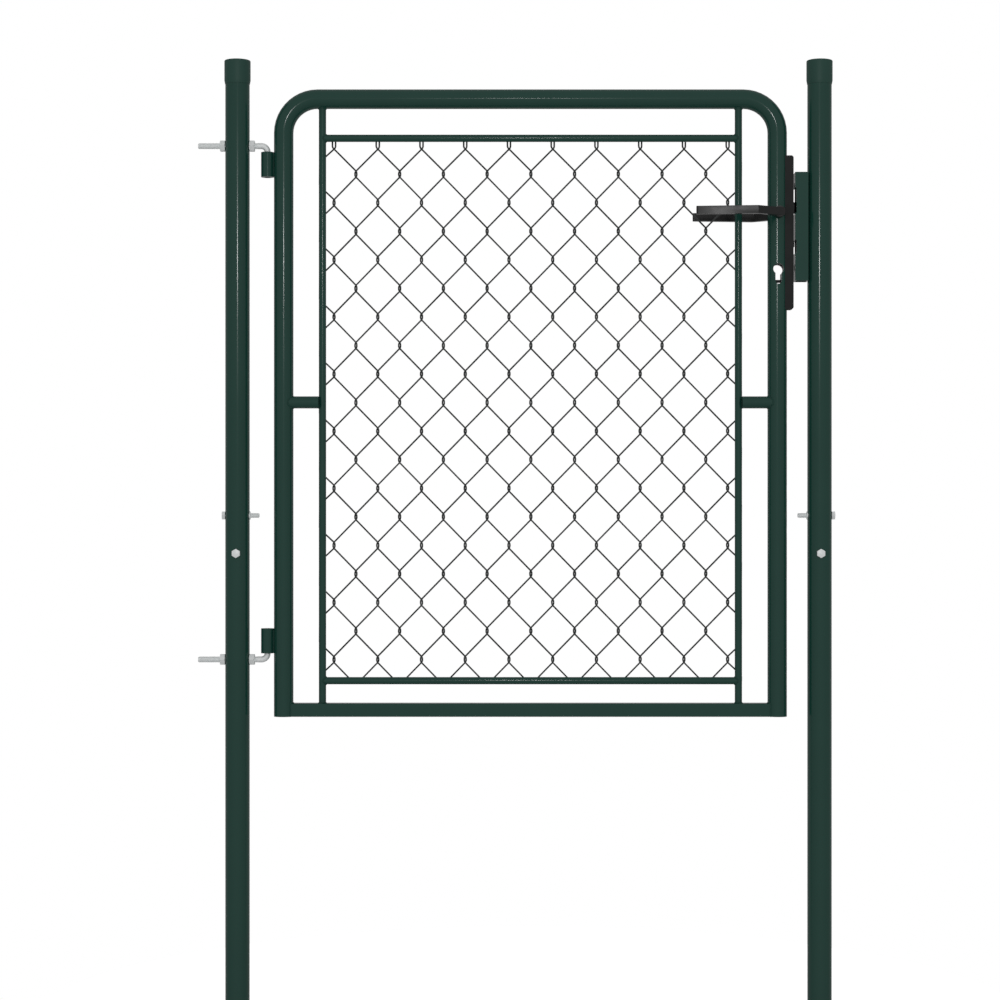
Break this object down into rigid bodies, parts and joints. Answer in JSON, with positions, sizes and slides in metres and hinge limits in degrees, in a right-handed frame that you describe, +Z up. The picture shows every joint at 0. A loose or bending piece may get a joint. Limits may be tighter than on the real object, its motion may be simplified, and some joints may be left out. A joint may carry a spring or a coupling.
{
  "type": "garden gate",
  "caption": "Chain-link garden gate: a tube-framed leaf hung on pintles between round posts, with a lever latch, a deadbolt and a keep.",
  "frame": {"origin": "centre of the hinge post's foot", "axes": "+X from the hinge post to the latch post, -Y the front of the gate, +Z up the posts"},
  "size_m": [1.0499, 0.12, 1.6],
  "materials": {
    "green_powder_coat": "satin powder coat over steel tube",
    "green_cap_plastic": "satin moulded",
    "zinc_plated_steel": "bright zinc plate",
    "coated_wire": "dark plastic-coated wire",
    "black_powder_coat": "fine satin",
    "lock_steel": "plain",
    "black_bolt_steel": "blackened",
    "spring_steel": "plain",
    "black_lever_plastic": "satin"
  },
  "bodies": {
    "posts": {"hinge_post": "green_powder_coat", "latch_post": "green_powder_coat", "hinge_post_cap": "green_cap_plastic", "latch_post_cap": "green_cap_plastic", "upper_hinge_bolt": "zinc_plated_steel", "lower_hinge_bolt": "zinc_plated_steel", "hinge_nuts": "zinc_plated_steel", "fence_bolts": "zinc_plated_steel", "fence_rivet_nuts": "zinc_plated_steel", "keep_box": "green_powder_coat", "keep_screws": "zinc_plated_steel", "keep_rivet_nuts": "zinc_plated_steel"},
    "leaf": {"leaf_hoop": "green_powder_coat", "bottom_rail": "green_powder_coat", "hinge_side_upright": "green_powder_coat", "latch_side_upright": "green_powder_coat", "upper_mesh_rod": "green_powder_coat", "lower_mesh_rod": "green_powder_coat", "hinge_side_tie": "green_powder_coat", "latch_side_tie": "green_powder_coat", "upper_hinge_barrel": "green_powder_coat", "lower_hinge_barrel": "green_powder_coat", "chain_link_mesh": "coated_wire", "lock_cover": "black_powder_coat", "lock_case": "lock_steel", "lock_case_lid": "lock_steel", "forend_screws": "black_bolt_steel", "cylinder_screw": "black_bolt_steel", "latch_spring": "spring_steel"},
    "handle": {"follower": "lock_steel", "front_lever": "black_lever_plastic", "back_lever": "black_lever_plastic", "spindle": "lock_steel", "lever_grub_screws": "black_bolt_steel"},
    "latch": {"latch_bolt": "black_bolt_steel"},
    "deadbolt": {"deadbolt": "black_bolt_steel"}
  },
  "joints": [
    {"name": "leaf_swing", "type": "hinge", "parent": "posts", "child": "leaf", "pos_m": [0.04955, 0, 0.6], "axis": [0, 0, 1], "range_deg": [-110, 110]},
    {"name": "handle_turn", "type": "hinge", "parent": "leaf", "child": "handle", "pos_m": [0.8912, 0, 1.3475], "axis": [0, -1, 0], "range_deg": [0, 35], "stiffness_Nm_per_rad": 1.2, "springref_deg": -20.05},
    {"name": "latch_slide", "type": "slide", "parent": "leaf", "child": "latch", "axis": [-1, 0, 0], "range_m": [0, 0.0105], "deforming": ["latch_spring"]},
    {"name": "deadbolt_slide", "type": "slide", "parent": "leaf", "child": "deadbolt", "axis": [1, 0, 0], "range_m": [0, 0.012]}
  ],
  "couplings": [
    {"joint": "latch_slide", "follows": "handle_turn", "m_per_rad": 0.0171}
  ]
}
